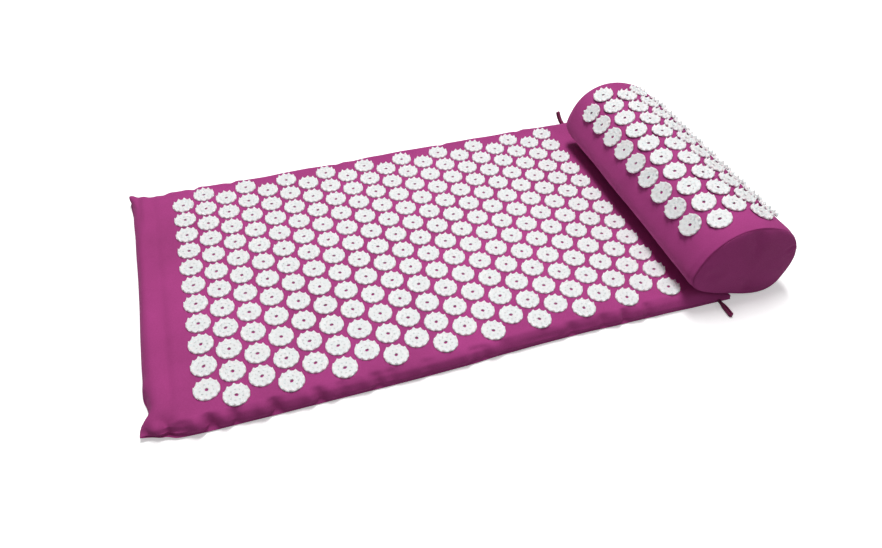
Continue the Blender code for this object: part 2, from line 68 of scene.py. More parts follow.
class Finish:
    # a Principled material that is built up node by node
    def __init__(self, name, **constants):
        self.material = bpy.data.materials.new(name)
        self.material.use_nodes = True
        self.tree = self.material.node_tree
        self.shader = self.tree.nodes["Principled BSDF"]
        self.set(**constants)

    def feed(self, socket, value):
        if isinstance(value, Wire):
            self.tree.links.new(value.socket, socket)
        else:
            socket.default_value = value

    def set(self, **values):
        for name, value in values.items():
            self.feed(self.shader.inputs[name.replace("_", " ")], value)

    def node(self, kind, settings=None, values=None, out=0):
        made = self.tree.nodes.new("ShaderNode" + kind)
        for key, value in (settings or {}).items():
            setattr(made, key, value)
        for key, value in (values or {}).items():
            self.feed(made.inputs[key], value)
        return Wire(self, made.outputs[out])

    def place(self):
        # where a point lies on the object
        return self.node("TexCoord", None, None, 3)

    def wave(self, angle):
        return self.node("Math", {"operation": "SINE"}, {0: angle})

    def noise(self, where, scale, detail=2.0):
        return self.node("TexNoise", None, {"Vector": where, "Scale": scale, "Detail": detail})

    def blend(self, share, first, second):
        # a colour between two others
        settings = {"data_type": "RGBA", "clamp_factor": True}
        first, second = [c if isinstance(c, Wire) else (*c, 1) for c in (first, second)]
        return self.node("Mix", settings, {0: share, 6: first, 7: second}, 2)

    def spread(self, value, low, high):
        # 0 at low and 1 at high, held between the two
        return self.node("MapRange", None, {"Value": value, "From Min": low, "From Max": high})

    def bump(self, height, distance, strength):
        values = {"Height": height, "Distance": distance, "Strength": strength}
        self.set(Normal=self.node("Bump", None, values))


clothLook = dict(
    light=(0.500, 0.062, 0.284),
    dark=(0.305, 0.038, 0.166),
    sheen=(1.0, 0.30, 0.68),
    sheenWeight=0.12,
    sheenRoughness=0.4,
    gloss=0.2,
    rough=(0.95, 0.2),  # the roughness, and how much the grain takes off it
    thread=0.0008,  # from one thread to the next
    lift=0.00012,  # how high the grain stands
    strength=0.8,
    # (how many a metre, the values that count as dark and light, the share in the colour); the mottle and the
    # cloud are random patches, partly the cloth's own uneven tone and partly painted soft shade of gentle
    # undulations
    mottle=(20.0, (0.3, 0.7), 0.25),
    cloud=(9.0, (0.35, 0.65), 0.20),
    grain=(700.0, 0.45),  # (how many a metre, the share in the colour)
    weave=0.08,  # the share in the colour
    base=0.05,
    weaveLift=0.5,  # how high the weave stands, as a share of the grain
)


def clothFinish(name, look):
    finish = Finish(name, Sheen_Weight=look["sheenWeight"], Sheen_Roughness=look["sheenRoughness"])
    finish.set(Specular_IOR_Level=look["gloss"], Sheen_Tint=(*look["sheen"], 1))
    flat = finish.node("UVMap", {"uv_map": "cloth"})
    turns = 2 * math.pi / look["thread"]
    weft, warp = [finish.node("SeparateXYZ", None, {0: flat}, k) for k in (0, 1)]
    weave = finish.wave(weft * turns) * finish.wave(warp * turns)
    where = finish.place()
    mottles, mottleEnds, mottleShare = look["mottle"]
    clouds, cloudEnds, cloudShare = look["cloud"]
    grains, grainShare = look["grain"]
    # random darker and lighter patches: partly the cloth's uneven tone, partly painted soft shade
    mottle = finish.spread(finish.noise(where, mottles, 3.0), *mottleEnds)
    cloud = finish.spread(finish.noise(where, clouds), *cloudEnds)
    grain = finish.noise(where, grains)
    share = mottle * mottleShare + cloud * cloudShare + grain * grainShare
    share = share + weave * look["weave"] + look["base"]
    finish.set(Base_Color=finish.blend(share, look["dark"], look["light"]))
    rough, less = look["rough"]
    finish.set(Roughness=rough - grain * less)
    finish.bump(weave * look["weaveLift"] + grain, look["lift"], look["strength"])
    return finish.material


discLook = dict(
    white=(0.985, 0.985, 0.99),
    grey=(0.93, 0.93, 0.945),
    gloss=0.35,
    depth=0.0022,  # how far light runs inside the plastic
    depthTint=(1.0, 0.9, 0.9),
    # (how many a metre, the values that count as dark and light, the share in the colour)
    grain=(700.0, (0.35, 0.65), 0.6),
    cloud=(90.0, (0.3, 0.7), 0.4),
    rough=(0.36, 0.25),  # the least roughness, and how much the grain adds to it
    lift=0.00003,
    strength=0.5,
)


def plasticFinish(name, look):
    finish = Finish(name, Specular_IOR_Level=look["gloss"], Subsurface_Weight=1.0)
    finish.set(Subsurface_Scale=look["depth"], Subsurface_Radius=look["depthTint"])
    where = finish.place()
    grains, grainEnds, grainShare = look["grain"]
    clouds, cloudEnds, cloudShare = look["cloud"]
    grain = finish.noise(where, grains, 3.0)
    cloud = finish.noise(where, clouds)
    share = finish.spread(grain, *grainEnds) * grainShare + finish.spread(cloud, *cloudEnds) * cloudShare
    finish.set(Base_Color=finish.blend(share, look["grey"], look["white"]))
    rough, more = look["rough"]
    finish.set(Roughness=rough + grain * more)
    finish.bump(grain, look["lift"], look["strength"])
    return finish.material


ribbonLook = dict(
    loop=(0.36, 0.018, 0.14),
    tape=(0.30, 0.03, 0.17),
    nylon=(0.33, 0.04, 0.19),
    shade=0.55,  # painted shade: how dark the colour gets in the grooves between the ribs
    rib=0.0011,  # from one rib to the next
    grain=900.0,
    shares=(0.3, 0.7),  # of the ribs' painted shade and of the grain in the colour
    gloss=0.3,
    sheen=0.2,
    rough=(0.6, 0.25),  # the least roughness, and how much the grain adds to it
    lift=0.0001,
    strength=0.7,
)


def ribbonFinish(name, color, look):
    finish = Finish(name, Specular_IOR_Level=look["gloss"], Sheen_Weight=look["sheen"])
    where = finish.place()
    across = finish.node("SeparateXYZ", None, {0: where}, 1)
    ribs = finish.wave(across * (2 * math.pi / look["rib"]))
    grain = finish.noise(where, look["grain"])
    # painted shade: the colour darkens between the ribs, where the bump lies lowest
    dark = tuple(part * look["shade"] for part in color)
    ribShare, grainShare = look["shares"]
    finish.set(Base_Color=finish.blend(ribs * ribShare + grain * grainShare, dark, color))
    rough, more = look["rough"]
    finish.set(Roughness=rough + grain * more)
    finish.bump(ribs + grain, look["lift"], look["strength"])
    return finish.material


paintLook = dict(
    paint=(0.34, 0.05, 0.19),
    metal=(0.42, 0.38, 0.40),
    wear=600.0,
    rubbed=(0.60, 0.72),  # between these values of the wear, the paint gives way to the metal
    metallic=0.25,
    coat=0.3,
    rough=(0.3, 0.25),  # the least roughness, and how much the wear adds to it
    lift=0.00005,
    strength=0.4,
)


def paintedFinish(name, look):
    finish = Finish(name, Metallic=look["metallic"], Coat_Weight=look["coat"])
    wear = finish.noise(finish.place(), look["wear"], 4.0)
    rubbed = finish.spread(wear, *look["rubbed"])
    finish.set(Base_Color=finish.blend(rubbed, look["paint"], look["metal"]))
    rough, more = look["rough"]
    finish.set(Roughness=rough + wear * more)
    finish.bump(wear, look["lift"], look["strength"])
    return finish.material


cotton = clothFinish("magentaCotton", clothLook)
plastic = plasticFinish("whitePlastic", discLook)
ribbon = ribbonFinish("darkRibbon", ribbonLook["loop"], ribbonLook)
tape = ribbonFinish("zipTape", ribbonLook["tape"], ribbonLook)
nylon = ribbonFinish("zipNylon", ribbonLook["nylon"], ribbonLook)
paint = paintedFinish("zipPaint", paintLook)
print("finishes made")

# shared making


def finishPiece(name, bm, finish, body, replaced, smooth=True):
    # turns a shape into a piece that rides on a body and stands for one or more CAD nodes
    bmesh.ops.recalc_face_normals(bm, faces=bm.faces)
    mesh = bpy.data.meshes.new(name)
    for face in bm.faces:
        face.smooth = face.smooth or smooth
    bm.to_mesh(mesh)
    bm.free()
    piece = bpy.data.objects.new(name, mesh)
    scene.collection.objects.link(piece)
    mesh.materials.append(finish)
    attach(piece, body)
    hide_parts(*replaced)
    return piece


def onlyVerts(made):
    return [item for item in made if isinstance(item, bmesh.types.BMVert)]


def onlyEdges(made):
    return [item for item in made if isinstance(item, bmesh.types.BMEdge)]


def inOrder(items):
    # each item once, in the same order in every run
    return list(dict.fromkeys(items))


def smoothStep(value, low, high):
    share = min(1.0, max(0.0, (value - low) / (high - low)))
    return share * share * (3 - 2 * share)


def crowd(share, crowding):
    # moves the grid's lines towards both rims, so that the shoulders get more of them
    return share - crowding * math.sin(2 * math.pi * share) / (2 * math.pi)


def alongCurve(stations, share):
    # a smooth value between (share, value) stations
    for (a, low), (b, high) in zip(stations, stations[1:]):
        if share <= b:
            return low + (high - low) * smoothStep(share, a, b)
    return stations[-1][1]


creaseForm = dict(
    # shares of the fold's length
    rise=(-0.9, -0.3),
    fall=(0.25, 1.0),
    # distances from its line, in widths of the fold
    groove=1.5,
    swell=(1.9, 1.2),
    swellHeights=(0.6, 0.15),  # on the swollen side and on the other side
)


def crease(point, spec):
    # how far a fold moves a point: a groove that starts at an edge and dies away, with a swell along one side
    form = creaseForm
    start, end, width, depth = spec
    start, end = Vector(start), Vector(end)
    line = end - start
    share = (point - start).dot(line) / line.length_squared
    away = point - (start + line * share)
    side = math.copysign(1.0, line.x * away.y - line.y * away.x) * math.copysign(1.0, width)
    distance = away.length / abs(width)
    fade = smoothStep(share, *form["rise"]) * (1 - smoothStep(share, *form["fall"]))
    groove = math.exp(-(distance ** form["groove"]))
    middle, reach = form["swell"]
    swell = math.exp(-(((distance - middle) / reach) ** 2)) * form["swellHeights"][0 if side > 0 else 1]
    return depth * (swell - groove) * fade


def puff(piece, held, settings):
    # lets the cloth swell over its filling, and keeps each point close to where it was sewn
    rest = [vert.co.copy() for vert in piece.data.vertices]
    group = piece.vertex_groups.new(name="held")
    for index, weight in enumerate(held):
        group.add([index], weight, "REPLACE")
    cloth = piece.modifiers.new("puff", "CLOTH")
    cloth.settings.quality = settings["quality"]
    cloth.settings.use_pressure = True
    cloth.settings.uniform_pressure_force = settings["pressure"]
    cloth.settings.vertex_group_mass = "held"
    cloth.settings.effector_weights.gravity = 0
    cloth.collision_settings.use_collision = False
    for moment in range(1, settings["frames"] + 1):
        scene.frame_set(moment)
    swollen = piece.evaluated_get(bpy.context.evaluated_depsgraph_get()).to_mesh()
    moved = [vert.co.copy() for vert in swollen.vertices]
    piece.modifiers.remove(cloth)
    piece.vertex_groups.remove(group)
    scene.frame_set(1)
    furthest = 0.0
    for vert, start, end in zip(piece.data.vertices, rest, moved):
        step = end - start
        furthest = max(furthest, step.length)
        vert.co = start + step * min(1.0, settings["cap"] / max(step.length, 1e-9))
    print(piece.name, "swelled by", round(furthest, 4))


def clothMap(bm, unfold):
    # writes where each corner of each face lies on the flat cloth
    layer = bm.loops.layers.uv.new("cloth")
    for face in bm.faces:
        for loop in face.loops:
            loop[layer].uv = unfold(loop.vert.co, face.normal)


# the mat

matForm = dict(
    length=0.680,
    width=0.414,
    top=0.0205,
    cuts=(156, 58, 8),
    crowding=(0.30, 0.80),
    # (share along the side, how far the side is drawn in there)
    near=[
        (0, 0.010), (0.024, 0.0082), (0.05, 0.0062), (0.12, 0.0054), (0.2, 0.0046),
        (0.43, 0.0034), (0.5, 0.0038), (0.57, 0.0062), (0.64, 0.0070), (0.72, 0.0070),
        (0.79, 0.0052), (0.87, 0.0040), (0.95, 0.0020), (1, 0.001),
    ],
    far=[
        (0, 0.0), (0.03, -0.0012), (0.1, 0.0), (0.2, -0.0006), (0.3, 0.0006), (0.42, 0.001),
        (0.52, -0.001), (0.68, -0.0012), (0.8, -0.0012), (0.9, -0.0016), (1, -0.0010),
    ],
    foot=[
        (0, -0.0035), (0.02, -0.0036), (0.04, -0.0017), (0.06, 0.0036), (0.08, 0.0054),
        (0.105, 0.0038), (0.13, 0.0004), (0.16, -0.0006), (0.2, 0.0004), (0.5, 0.0010),
        (0.8, 0.0002), (0.93, -0.0016), (1, -0.0035),
    ],
    head=[(0, 0.0), (0.06, 0.001), (0.15, 0.0), (0.9, 0.0), (1, 0.0)],
    # near foot, near head, far head and far foot corner: (reach along, reach across, lowest height)
    ears=((0.001, -0.008, 0.0040), (0.006, 0.0, 0.006), (0.005, 0.004, 0.0165), (0.0015, 0.0115, 0.0165)),
    earReach=0.015,  # how far an ear's reach goes into the mat
    earSink=0.013,  # how far an ear's lowest height goes into the mat
    rounding=dict(near=0.0095, far=0.006, head=0.004, foot=0.0105),
    crown=dict(near=0.015, far=0.011, head=0.050, foot=0.060),
    drop=dict(near=0.0008, far=0.0004, head=0.0090, foot=0.0030),
    free=(0.87, 0.97),  # between these shares across, the pillow ends and stops pressing the head end down
    freed=0.85,  # the share of the head end's drop that goes there
    # (height above the floor, reach)
    hem=((0.0, -0.0010), (0.0007, 0.0010), (0.0014, 0.0020), (0.0022, 0.0016), (0.0028, -0.0002)),
    # (share of the wall's height, reach)
    wall=((0.25, 0.0006), (0.45, 0.0011), (0.65, 0.0011), (0.85, 0.0006)),
    lift=(0.0045, 0.030),  # how high the near foot corner stands off the floor, and how far that reaches
    # the flat field that carries the discs: (where it ends, the width of its soft border)
    field=dict(foot=(0.3200, 0.0175), head=(0.322, 0.022), far=(0.2065, 0.012), near=(0.2035, 0.012)),
    slack=((14.0, 0.0016), (42.0, 0.0005)),  # (waves a metre, height)
    # heights between which a swell, the slack and all folds begin
    swellFrom=(0.005, 0.013),
    slackFrom=(0.006, 0.015),
    foldFrom=(0.0018, 0.0060),
    slackLeast=0.25,  # the share of the slack that the foot of a wall keeps
    sewn=0.0027,  # the hem holds the cloth below this height
    upper=0.01,  # above this height, the field is pressed flat
    pressed=(0.5, 1.0),  # how far across the field's border that begins, and where it is done
    lying=0.6,  # a face counts as top or underside when its normal rises by more than this
)

matFolds = [  # where it starts, where it dies away, width (minus turns its swell to the other side), depth
    ((-0.3185, -0.205), (-0.3205, -0.176), 0.0060, 0.0062),
    ((-0.3140, -0.190), (-0.2900, -0.201), 0.0070, 0.0020),
    ((-0.2760, -0.205), (-0.2840, -0.176), 0.0055, 0.0060),
    ((-0.2830, -0.184), (-0.3080, -0.140), 0.0075, 0.0034),
    ((-0.3095, -0.080), (-0.3100, 0.140), 0.0110, 0.0013),
    ((-0.3070, -0.142), (-0.3120, 0.020), 0.0090, 0.0015),
    ((-0.3330, -0.100), (-0.3320, 0.030), 0.0045, 0.0009),
    ((-0.3430, -0.150), (-0.3240, -0.133), 0.0046, 0.0032),
    ((-0.3420, -0.128), (-0.3290, -0.118), 0.0040, 0.0016),
    ((-0.2510, -0.205), (-0.2550, -0.188), 0.0050, 0.0048),
    ((-0.2100, -0.205), (-0.2160, -0.182), 0.0058, 0.0078),
    ((-0.1640, -0.205), (-0.1700, -0.187), 0.0050, 0.0066),
    ((-0.1400, -0.205), (-0.1430, -0.191), 0.0050, 0.0030),
    ((-0.1010, -0.205), (-0.1070, -0.184), 0.0055, 0.0063),
    ((-0.0860, -0.205), (-0.0900, -0.185), 0.0045, 0.0045),
    ((-0.0440, -0.205), (-0.0470, -0.188), 0.0060, 0.0030),
    ((0.0095, -0.204), (0.0060, -0.186), 0.0044, 0.0054),
    ((0.0225, -0.204), (0.0190, -0.187), -0.0044, 0.0057),
    ((0.0490, -0.203), (0.0470, -0.191), 0.0046, 0.0030),
    ((0.1310, -0.201), (0.1280, -0.184), 0.0060, 0.0042),
    ((0.1720, -0.201), (0.1690, -0.185), 0.0052, 0.0036),
    ((0.1990, -0.202), (0.1960, -0.183), 0.0042, 0.0063),
    ((0.2300, -0.203), (0.2270, -0.187), 0.0046, 0.0042),
    ((-0.2990, 0.208), (-0.3010, 0.192), 0.0050, 0.0014),
    ((-0.2590, 0.208), (-0.2580, 0.192), 0.0046, 0.0024),
    ((-0.2080, 0.207), (-0.2020, 0.190), 0.0046, 0.0020),
    ((-0.0520, 0.207), (-0.0580, 0.190), 0.0046, 0.0018),
    ((0.1100, 0.207), (0.1060, 0.190), 0.0046, 0.0016),
    ((0.2380, 0.207), (0.2320, 0.192), 0.0044, 0.0014),
    ((-0.3335, 0.196), (-0.3325, 0.110), 0.0040, 0.0022),
    ((0.3400, -0.090), (0.3280, -0.086), 0.0050, 0.0016),
    ((0.3400, 0.060), (0.3270, 0.066), 0.0050, 0.0016),
]


def planPoint(s, t):
    # the place on the plan of a share along and a share across, drawn to the mat's uneven outline
    form = matForm
    halfLength, halfWidth = form["length"] / 2, form["width"] / 2
    x = -halfLength + 2 * halfLength * s
    y = -halfWidth + 2 * halfWidth * t
    y += alongCurve(form["near"], s) * (1 - t) - alongCurve(form["far"], s) * t
    x += alongCurve(form["foot"], t) * (1 - s) - alongCurve(form["head"], t) * s
    corners = ((-1, -1), (1, -1), (1, 1), (-1, 1))
    for (sideX, sideY), (reachX, reachY, _) in zip(corners, form["ears"]):
        away = math.hypot(x - sideX * halfLength, y - sideY * halfWidth)
        pull = math.exp(-((away / form["earReach"]) ** 2))
        x += sideX * reachX * pull
        y += sideY * reachY * pull
    return x, y


def sideFall(side, distance, pressed=1.0):
    # how far the top lies below its crown at a distance from one side
    rounding, crown, drop = [matForm[key][side] for key in ("rounding", "crown", "drop")]
    drop *= pressed
    if distance < rounding:
        inner = rounding - distance
        return drop + rounding - math.sqrt(max(0.0, rounding**2 - inner**2))
    return drop * (1 - smoothStep(distance, rounding, crown))


def topHeight(s, t):
    # how high the top lies at a share along and a share across
    form = matForm
    x, y = s * form["length"], t * form["width"]
    fromHead, fromFar = form["length"] - x, form["width"] - y
    pressed = 1 - form["freed"] * smoothStep(t, *form["free"])
    falls = [
        sideFall("near", y),
        sideFall("far", fromFar),
        sideFall("foot", x),
        sideFall("head", fromHead, pressed),
    ]
    height = form["top"]
    for fall in falls:
        height *= 1 - fall / form["top"]
    corners = ((x, y), (fromHead, y), (fromHead, fromFar), (x, fromFar))
    for (awayX, awayY), (_, _, low) in zip(corners, form["ears"]):
        height += (low - height) * math.exp(-(awayX**2 + awayY**2) / form["earSink"] ** 2)
    return height


def loopCut(bm, axis, cuts):
    # cuts every edge that runs along one axis into even parts
    edges = [e for e in bm.edges if abs((e.verts[0].co - e.verts[1].co)[axis]) > 1e-4]
    bmesh.ops.subdivide_edges(bm, edges=edges, cuts=cuts, use_grid_fill=True)


def shapeMat(bm):
    # bends a finely cut cube to the mat: outline, hem, walls, shoulders and crown
    form = matForm
    hem, wall = form["hem"], form["wall"]
    steps = form["cuts"][2] + 1
    side = 0.999  # the cube's sides lie at 1, and all its inner lines below this
    for vert in bm.verts:
        u, v, w = [2 * value for value in vert.co]
        s, t = [crowd((value + 1) / 2, crowding) for value, crowding in zip((u, v), form["crowding"])]
        x, y = planPoint(s, t)
        rim = topHeight(s, t)
        level = round((w + 1) / 2 * steps)
        if level < len(hem):
            z, reach = hem[level]
        elif level < steps:
            share, reach = wall[level - len(hem)]
            z = hem[-1][0] + (rim - hem[-1][0]) * share
        else:
            z, reach = rim, 0.0
        # the head end's wall stays straight
        x -= reach if u < -side else 0.0
        y += reach * math.copysign(1.0, v) if abs(v) > side else 0.0
        height, width = form["lift"]
        away = math.hypot(x + form["length"] / 2, y + form["width"] / 2)
        z += height * math.exp(-((away / width) ** 2)) * (1 - z / form["top"])
        vert.co = (x, y, z)


def fieldParts(point):
    # along and across: 1 on the flat field that carries the discs, 0 at the rims
    (foot, footFade), (head, headFade), (far, farFade), (near, nearFade) = matForm["field"].values()
    along = smoothStep(point.x + foot, 0.0, footFade) * smoothStep(head - point.x, 0.0, headFade)
    across = smoothStep(far - point.y, 0.0, farFade) * smoothStep(point.y + near, 0.0, nearFade)
    return along, across


def fieldShare(point):
    along, across = fieldParts(point)
    return along * across


def foldMat(bm):
    # folds and slack in the cloth, on the top and the walls but not under the discs
    form = matForm
    least = form["slackLeast"]
    bm.normal_update()
    steps = []
    for vert in bm.verts:
        step = sum(crease(vert.co.xy, fold) for fold in matFolds)
        step *= smoothStep(vert.co.z, *form["swellFrom"]) if step > 0 else 1.0
        slack = sum(noise.noise(vert.co * waves) * height for waves, height in form["slack"])
        loose = least + (1 - least) * smoothStep(vert.co.z, *form["slackFrom"])
        loose = (1 - fieldShare(vert.co)) * loose
        lifted = smoothStep(vert.co.z, *form["foldFrom"])
        steps.append((vert, vert.normal * (step + slack * loose) * lifted))
    for vert, step in steps:
        vert.co += step


def unfoldMat(co, normal):
    # the top and the underside unfold from above, and each wall from its own side
    if abs(normal.z) > matForm["lying"]:
        return co.x, co.y
    return (co.x, co.z) if abs(normal.y) > abs(normal.x) else (co.y, co.z)


matPuff = dict(quality=4, pressure=12.0, frames=12, cap=0.0015)


def buildMat():
    # a cube that is cut, shaped, puffed and folded, and whose field is then pressed flat
    form = matForm
    bm = bmesh.new()
    bmesh.ops.create_cube(bm, size=1.0)
    for axis, cuts in enumerate(form["cuts"]):
        loopCut(bm, axis, cuts)
    shapeMat(bm)
    bm.normal_update()
    clothMap(bm, unfoldMat)
    stands = ("mat_top_cover", "mat_base_panel", "mat_foam_pad")
    mat = finishPiece("matCushion", bm, cotton, "mat", stands)
    held = [1.0 if v.co.z < form["sewn"] else fieldShare(v.co) for v in mat.data.vertices]
    puff(mat, held, matPuff)
    bm = bmesh.new()
    bm.from_mesh(mat.data)
    foldMat(bm)
    for vert in bm.verts:
        along, across = fieldParts(vert.co)
        share = along * smoothStep(across, *form["pressed"]) if vert.co.z > form["upper"] else 0.0
        vert.co.z = max(0.0, vert.co.z + (form["top"] - vert.co.z) * share)
    bm.to_mesh(mat.data)
    bm.free()
    finer = mat.modifiers.new("finer", "SUBSURF")
    finer.levels = finer.render_levels = 1


buildMat()
print("mat made")

# the discs

discForm = dict(
    columns=20,
    rows=5,
    radius=0.0141,
    thickness=0.0012,
    pitch=0.033,
    hole=0.0021,
    holeStretch=1.1,
    teeth=dict(count=11, foot=0.0110, reach=0.0134, height=0.0046),  # foot: how far out they begin
    valley=(0.0139, 0.0012),  # how far out and how high the rim lies between the teeth
    inner=dict(count=9, reach=0.0072, radius=0.0010, height=0.0005),
)


def stamp(bm, mesh, place):
    # puts a copy of a mesh into a piece
    first = len(bm.verts)
    bm.from_mesh(mesh)
    bm.verts.ensure_lookup_table()
    bmesh.ops.transform(bm, matrix=place, verts=bm.verts[first:])


def growRing(bm, edges, radius, height):
    # draws a ring of edges out to a new ring, and gives the new edges
    grown = bmesh.ops.extrude_edge_only(bm, edges=edges)["geom"]
    fresh = set(onlyVerts(grown))
    for vert in fresh:
        vert.co = (vert.co.xy.normalized() * radius).to_3d() + Vector((0, 0, height))
    return [edge for edge in onlyEdges(grown) if set(edge.verts) <= fresh]


def discMesh():
    # a thin plate with a hole, a crown of teeth round its rim, and one ring of low spikes inside it
    form = discForm
    thick, teeth, inner = form["thickness"], form["teeth"], form["inner"]
    bm = bmesh.new()
    bmesh.ops.create_circle(bm, segments=3 * teeth["count"], radius=form["radius"])
    under = bm.edges[:]
    rim = growRing(bm, under, form["radius"], thick)
    foot = growRing(bm, rim, teeth["foot"], thick)
    for vert in inOrder(vert for edge in rim for vert in edge.verts):
        step = round(math.atan2(vert.co.x, vert.co.y) / (2 * math.pi) * 3 * teeth["count"])
        away, vert.co.z = (teeth["reach"], teeth["height"]) if step % 3 == 0 else form["valley"]
        vert.co.xy = vert.co.xy.normalized() * away
    top = Matrix.Translation((0, 0, thick))
    bmesh.ops.create_circle(bm, segments=teeth["count"], radius=form["hole"], matrix=top)
    holeTop = [edge for edge in bm.edges if edge.is_wire and edge not in foot]
    holeFoot = growRing(bm, holeTop, form["hole"], 0.0)
    flat = []
    for pair in (foot + holeTop, under + holeFoot):
        flat += bmesh.ops.bridge_loops(bm, edges=pair)["faces"]
    joins = inOrder(edge for face in flat for edge in face.edges)
    bmesh.ops.dissolve_limit(bm, angle_limit=0.01, verts=[], edges=joins)
    for k in range(inner["count"]):
        turn = Matrix.Rotation(2 * math.pi * k / inner["count"], 4, "Z")
        place = turn @ Matrix.Translation((inner["reach"], 0, thick + inner["height"] / 2))
        cone = dict(segments=3, radius1=inner["radius"], radius2=0, depth=inner["height"])
        bmesh.ops.create_cone(bm, cap_ends=True, matrix=place, **cone)
    for vert in bm.verts:
        if vert.co.xy.length < inner["reach"] / 2:
            vert.co.x *= form["holeStretch"]
            vert.co.y /= form["holeStretch"]
    bmesh.ops.remove_doubles(bm, verts=bm.verts, dist=1e-6)
    bmesh.ops.recalc_face_normals(bm, faces=bm.faces)
    for face in bm.faces:
        # the teeth are rounded, and the rest has crisp edges
        face.smooth = max(vert.co.z for vert in face.verts) > thick + inner["height"] + 1e-4
    mesh = bpy.data.meshes.new("disc")
    bm.to_mesh(mesh)
    bm.free()
    return mesh


def rowPlace(node, along, inside):
    # the frame of one CAD line of discs, and how many it has
    # the frame lies in the middle of the line's underside, with Y along it and Z away from the cloth
    points = np.array([v.co for v in nodes[node].data.vertices])
    middle = points.mean(axis=0)
    # a line of discs spreads least through its thickness
    out = Vector(np.linalg.eigh(np.cov((points - middle).T))[1][:, 0])
    middle = Vector(middle)
    out = -out if out.dot(middle - inside) < 0 else out
    out = (out - along * out.dot(along)).normalized()
    across = along.cross(out)
    reach = [[(Vector(p) - middle).dot(axis) for p in points] for axis in (across, along, out)]
    middle += across * (max(reach[0]) + min(reach[0])) / 2 + along * (max(reach[1]) + min(reach[1])) / 2
    middle += out * min(reach[2])
    count = round((max(reach[1]) - min(reach[1]) - 2 * discForm["radius"]) / discForm["pitch"]) + 1
    place = Matrix((across, along, out)).transposed().to_4x4()
    place.translation = middle
    return place, count


def buildDiscs(name, node, body, along, inside):
    # one line of discs, each turned at random
    place, count = rowPlace(node, along, inside)
    rng = random.Random(name)
    bm = bmesh.new()
    for k in range(count):
        shift = Matrix.Translation((0, (k - (count - 1) / 2) * discForm["pitch"], 0))
        turn = Matrix.Rotation(rng.uniform(0, 2 * math.pi), 4, "Z")
        stamp(bm, disc, place @ shift @ turn)
    finishPiece(name, bm, plastic, body, (node,), False)


# the way that the pillow lies, and a place inside it
pillowAlong = Vector((0.040132, 0.999194, 0.0))
pillowMiddle = Vector((0.353862, -0.031, 0.046094))
disc = discMesh()
for number in range(1, discForm["columns"] + 1):
    node = f"mat_disc_column_{number:02d}"
    buildDiscs(f"matDiscs{number:02d}", node, "mat", Vector((0, 1, 0)), Vector((0, 0, 0)))
for number in range(1, discForm["rows"] + 1):
    buildDiscs(f"pillowDiscs{number}", f"pillow_disc_row_{number}", "pillow", pillowAlong, pillowMiddle)
print("discs made,", len(disc.polygons), "faces each")

# the pillow

pillowForm = dict(
    length=0.352,
    halfWidth=0.0745,
    crown=0.067,
    belly=0.0365,
    crownPower=2.233,
    bellyPower=3.0,
    lean=math.radians(19.5),
    turn=math.radians(-2.3),
    middle=0.015,  # height of the middle of the section
    halfHeight=0.052,
    measured=2000,  # into how many parts the section is measured
    around=112,
    along=84,
    crowding=0.55,
    # (share along the pillow, scale of its section there)
    draw=[
        (0, 0.972), (0.006, 0.986), (0.03, 1.003), (0.1, 1.0),
        (0.9, 1.0), (0.97, 1.0), (0.994, 0.984), (1, 0.972),
    ],
    askew=(-0.00125, 0.00375),  # how far the near end is moved along, in the middle and more towards one side
    askewFrom=(0.25, 0.5),  # shares of the length from the middle, where that begins and is complete
    slack=((15.0, 0.0012), (38.0, 0.0004)),  # (waves a metre, height)
    inwards=0.3,  # how much of the slack is taken off, so that most of it lies inwards
    seat=0.972,  # scale of the section under the end panels
    lids=(0.8, 0.5, 0.22),  # shares of the seat, of the rings that close the tube inside the panels
    lidDepth=0.001,
    foldsEnd=(0.8, 0.98),  # shares of the section between which the folds of an end panel die away
    unroll=0.06,  # radius that turns an angle round the pillow into a length of cloth
    floor=0.0002,  # how far the pillow's lowest part lies above the floor
)

pillowFrame = (
    Matrix.Translation(pillowMiddle)
    @ Matrix.Rotation(pillowForm["turn"], 4, "Z")
    @ Matrix.Rotation(pillowForm["lean"], 4, "Y")
)


def sectionPoint(angle):
    # a point of the pillow's section, which is flatter below its widest line than above it
    form = pillowForm
    cosine, sine = math.cos(angle), math.sin(angle)
    power = form["crownPower"] if sine >= 0 else form["bellyPower"]
    height = form["crown"] if sine >= 0 else form["belly"]
    x = math.copysign(form["halfWidth"] * abs(cosine) ** (2 / power), cosine)
    z = math.copysign(height * abs(sine) ** (2 / power), sine)
    return x, z


def sectionRing():
    # even steps round the section
    parts = pillowForm["measured"]
    fine = [sectionPoint(2 * math.pi * k / parts) for k in range(parts + 1)]
    lengths = [math.dist(a, b) for a, b in zip(fine, fine[1:])]
    total, steps = sum(lengths), pillowForm["around"]
    ring, travelled, k = [], 0.0, 0
    for step in range(steps):
        target = total * step / steps
        while travelled + lengths[k] < target:
            travelled += lengths[k]
            k += 1
        ring.append(fine[k])
    return ring


ring = sectionRing()


def pillowPoint(index, y, scale):
    # a place on the pillow, whose near end stands a little askew
    form = pillowForm
    x, z = ring[index]
    middle = (form["crown"] - form["belly"]) / 2
    askew = form["askew"][0] + form["askew"][1] * x * scale / form["halfWidth"]
    start, end = [share * form["length"] for share in form["askewFrom"]]
    y += askew * smoothStep(-y, start, end)
    return Vector((x * scale, y, middle + (z - middle) * scale))


